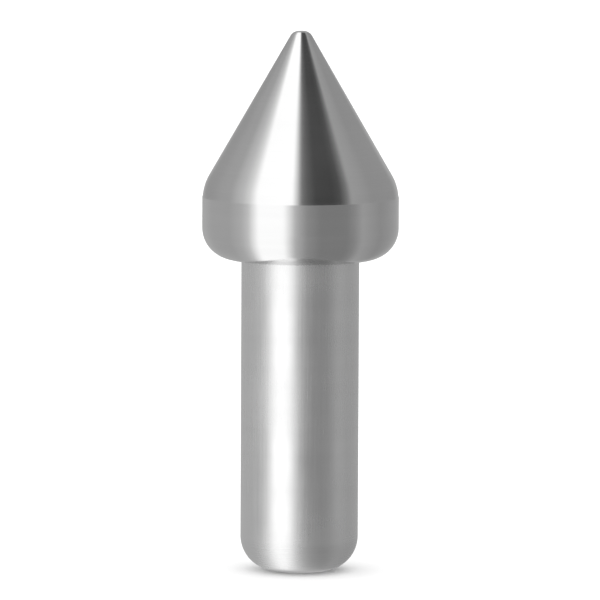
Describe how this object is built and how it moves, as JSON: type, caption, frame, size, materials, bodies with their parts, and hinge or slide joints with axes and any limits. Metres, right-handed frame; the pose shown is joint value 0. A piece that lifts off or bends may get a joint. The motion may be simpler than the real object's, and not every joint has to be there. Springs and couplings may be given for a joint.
{
  "type": "live center",
  "caption": "Live center for a lathe tailstock: a sharp cone point with a short rounded collar turns on ball bearings around a smooth straight shank.",
  "frame": {"origin": "centre of the shank's rear end face, in the plane that the object stands on", "axes": "+Z along the centre line from the shank's end to the tip of the cone; X and Y are any two directions square to it"},
  "size_m": [0.02, 0.02, 0.0551],
  "materials": {
    "point_steel": "ground and polished, bright",
    "shank_steel": "finely turned, satin",
    "bearing_steel": "lapped bearing steel",
    "cage_steel": "pressed steel, oiled",
    "shield_steel": "pressed sheet steel",
    "spring_steel": "phosphated spring steel, dull black"
  },
  "bodies": {
    "arbor": {"shank_arbor": "shank_steel", "rear_bearing_inner_ring": "bearing_steel", "front_bearing_inner_ring": "bearing_steel", "rear_retaining_clip": "spring_steel", "front_retaining_clip": "spring_steel"},
    "point": {"revolving_point": "point_steel", "bearing_retainer": "shank_steel", "preload_wave_washer": "spring_steel", "rear_bearing_outer_ring": "bearing_steel", "rear_bearing_rear_shield": "shield_steel", "rear_bearing_front_shield": "shield_steel", "front_bearing_outer_ring": "bearing_steel", "front_bearing_rear_shield": "shield_steel", "front_bearing_front_shield": "shield_steel"},
    "rear_cage": {"rear_bearing_cage": "cage_steel"},
    "front_cage": {"front_bearing_cage": "cage_steel"},
    "rear_ball_1": {"rear_bearing_ball_1": "bearing_steel"},
    "rear_ball_2": {"rear_bearing_ball_2": "bearing_steel"},
    "rear_ball_3": {"rear_bearing_ball_3": "bearing_steel"},
    "rear_ball_4": {"rear_bearing_ball_4": "bearing_steel"},
    "rear_ball_5": {"rear_bearing_ball_5": "bearing_steel"},
    "rear_ball_6": {"rear_bearing_ball_6": "bearing_steel"},
    "rear_ball_7": {"rear_bearing_ball_7": "bearing_steel"},
    "rear_ball_8": {"rear_bearing_ball_8": "bearing_steel"},
    "rear_ball_9": {"rear_bearing_ball_9": "bearing_steel"},
    "front_ball_1": {"front_bearing_ball_1": "bearing_steel"},
    "front_ball_2": {"front_bearing_ball_2": "bearing_steel"},
    "front_ball_3": {"front_bearing_ball_3": "bearing_steel"},
    "front_ball_4": {"front_bearing_ball_4": "bearing_steel"},
    "front_ball_5": {"front_bearing_ball_5": "bearing_steel"},
    "front_ball_6": {"front_bearing_ball_6": "bearing_steel"},
    "front_ball_7": {"front_bearing_ball_7": "bearing_steel"}
  },
  "joints": [
    {"name": "point_spin", "type": "hinge", "parent": "arbor", "child": "point", "pos_m": [0, 0, 0.0382], "axis": [0, 0, 1], "continuous": true},
    {"name": "rear_cage_spin", "type": "hinge", "parent": "arbor", "child": "rear_cage", "pos_m": [0, 0, 0.03635], "axis": [0, 0, 1], "continuous": true},
    {"name": "front_cage_spin", "type": "hinge", "parent": "arbor", "child": "front_cage", "pos_m": [0, 0, 0.043], "axis": [0, 0, 1], "continuous": true},
    {"name": "rear_ball_1_roll", "type": "hinge", "parent": "rear_cage", "child": "rear_ball_1", "pos_m": [0.00525, 0, 0.03635], "axis": [0, 0, 1], "continuous": true},
    {"name": "rear_ball_2_roll", "type": "hinge", "parent": "rear_cage", "child": "rear_ball_2", "pos_m": [0.00402, 0.00337, 0.03635], "axis": [0, 0, 1], "continuous": true},
    {"name": "rear_ball_3_roll", "type": "hinge", "parent": "rear_cage", "child": "rear_ball_3", "pos_m": [0.00091, 0.00517, 0.03635], "axis": [0, 0, 1], "continuous": true},
    {"name": "rear_ball_4_roll", "type": "hinge", "parent": "rear_cage", "child": "rear_ball_4", "pos_m": [-0.00263, 0.00455, 0.03635], "axis": [0, 0, 1], "continuous": true},
    {"name": "rear_ball_5_roll", "type": "hinge", "parent": "rear_cage", "child": "rear_ball_5", "pos_m": [-0.00493, 0.0018, 0.03635], "axis": [0, 0, 1], "continuous": true},
    {"name": "rear_ball_6_roll", "type": "hinge", "parent": "rear_cage", "child": "rear_ball_6", "pos_m": [-0.00493, -0.0018, 0.03635], "axis": [0, 0, 1], "continuous": true},
    {"name": "rear_ball_7_roll", "type": "hinge", "parent": "rear_cage", "child": "rear_ball_7", "pos_m": [-0.00263, -0.00455, 0.03635], "axis": [0, 0, 1], "continuous": true},
    {"name": "rear_ball_8_roll", "type": "hinge", "parent": "rear_cage", "child": "rear_ball_8", "pos_m": [0.00091, -0.00517, 0.03635], "axis": [0, 0, 1], "continuous": true},
    {"name": "rear_ball_9_roll", "type": "hinge", "parent": "rear_cage", "child": "rear_ball_9", "pos_m": [0.00402, -0.00337, 0.03635], "axis": [0, 0, 1], "continuous": true},
    {"name": "front_ball_1_roll", "type": "hinge", "parent": "front_cage", "child": "front_ball_1", "pos_m": [0.00325, 0, 0.043], "axis": [0, 0, 1], "continuous": true},
    {"name": "front_ball_2_roll", "type": "hinge", "parent": "front_cage", "child": "front_ball_2", "pos_m": [0.00203, 0.00254, 0.043], "axis": [0, 0, 1], "continuous": true},
    {"name": "front_ball_3_roll", "type": "hinge", "parent": "front_cage", "child": "front_ball_3", "pos_m": [-0.00072, 0.00317, 0.043], "axis": [0, 0, 1], "continuous": true},
    {"name": "front_ball_4_roll", "type": "hinge", "parent": "front_cage", "child": "front_ball_4", "pos_m": [-0.00293, 0.00141, 0.043], "axis": [0, 0, 1], "continuous": true},
    {"name": "front_ball_5_roll", "type": "hinge", "parent": "front_cage", "child": "front_ball_5", "pos_m": [-0.00293, -0.00141, 0.043], "axis": [0, 0, 1], "continuous": true},
    {"name": "front_ball_6_roll", "type": "hinge", "parent": "front_cage", "child": "front_ball_6", "pos_m": [-0.00072, -0.00317, 0.043], "axis": [0, 0, 1], "continuous": true},
    {"name": "front_ball_7_roll", "type": "hinge", "parent": "front_cage", "child": "front_ball_7", "pos_m": [0.00203, -0.00254, 0.043], "axis": [0, 0, 1], "continuous": true}
  ],
  "couplings": [
    {"joint": "rear_cage_spin", "follows": "point_spin", "ratio": 0.59524},
    {"joint": "front_cage_spin", "follows": "point_spin", "ratio": 0.61538},
    {"joint": "rear_ball_1_roll", "follows": "point_spin", "ratio": 2.5298},
    {"joint": "rear_ball_2_roll", "follows": "point_spin", "ratio": 2.5298},
    {"joint": "rear_ball_3_roll", "follows": "point_spin", "ratio": 2.5298},
    {"joint": "rear_ball_4_roll", "follows": "point_spin", "ratio": 2.5298},
    {"joint": "rear_ball_5_roll", "follows": "point_spin", "ratio": 2.5298},
    {"joint": "rear_ball_6_roll", "follows": "point_spin", "ratio": 2.5298},
    {"joint": "rear_ball_7_roll", "follows": "point_spin", "ratio": 2.5298},
    {"joint": "rear_ball_8_roll", "follows": "point_spin", "ratio": 2.5298},
    {"joint": "rear_ball_9_roll", "follows": "point_spin", "ratio": 2.5298},
    {"joint": "front_ball_1_roll", "follows": "point_spin", "ratio": 2.0513},
    {"joint": "front_ball_2_roll", "follows": "point_spin", "ratio": 2.0513},
    {"joint": "front_ball_3_roll", "follows": "point_spin", "ratio": 2.0513},
    {"joint": "front_ball_4_roll", "follows": "point_spin", "ratio": 2.0513},
    {"joint": "front_ball_5_roll", "follows": "point_spin", "ratio": 2.0513},
    {"joint": "front_ball_6_roll", "follows": "point_spin", "ratio": 2.0513},
    {"joint": "front_ball_7_roll", "follows": "point_spin", "ratio": 2.0513}
  ]
}
